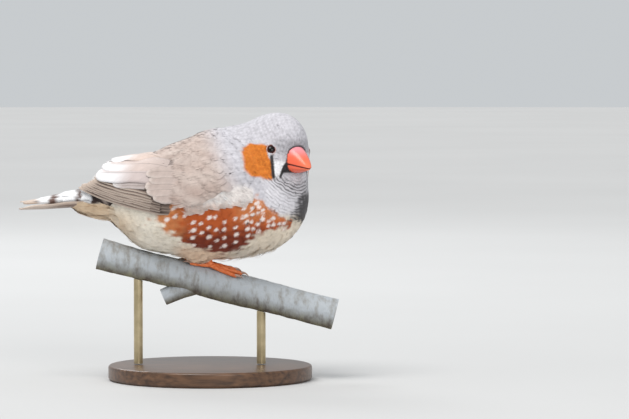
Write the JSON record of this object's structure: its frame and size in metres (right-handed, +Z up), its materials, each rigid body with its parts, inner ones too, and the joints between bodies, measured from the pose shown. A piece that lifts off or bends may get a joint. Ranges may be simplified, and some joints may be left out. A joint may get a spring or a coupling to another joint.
{
  "type": "zebra finch model on a perch",
  "caption": "Life-size still model of a male zebra finch perched on a short cut length of branch, with its head turned to one side, held up by rods on a round display base.",
  "frame": {"origin": "on the floor, at the centre of the round base's underside", "axes": "+X the way the bird's body faces, along the perch; +Y its left; +Z up"},
  "size_m": [0.1057, 0.068, 0.089],
  "materials": {
    "fawn": "matte feathers",
    "grey": "matte feathers",
    "tail_brown": "matte feathers",
    "bill_red": "waxy horn",
    "leg_orange": "scaly skin",
    "eye_dark": "wet gloss",
    "bark": "weathered bark",
    "base_wood": "satin varnish",
    "rod_metal": "satin"
  },
  "bodies": {
    "root": {"torso": "fawn", "neck": "grey", "head": "grey", "bill_upper": "bill_red", "bill_lower": "bill_red", "eye_right": "eye_dark", "eye_left": "eye_dark", "wing_right": "fawn", "wing_left": "fawn", "tail": "tail_brown", "leg_right": "leg_orange", "leg_left": "leg_orange", "perch": "bark", "stand_base": "base_wood", "stand_rod_back": "rod_metal", "stand_rod_front": "rod_metal"}
  },
  "joints": []
}
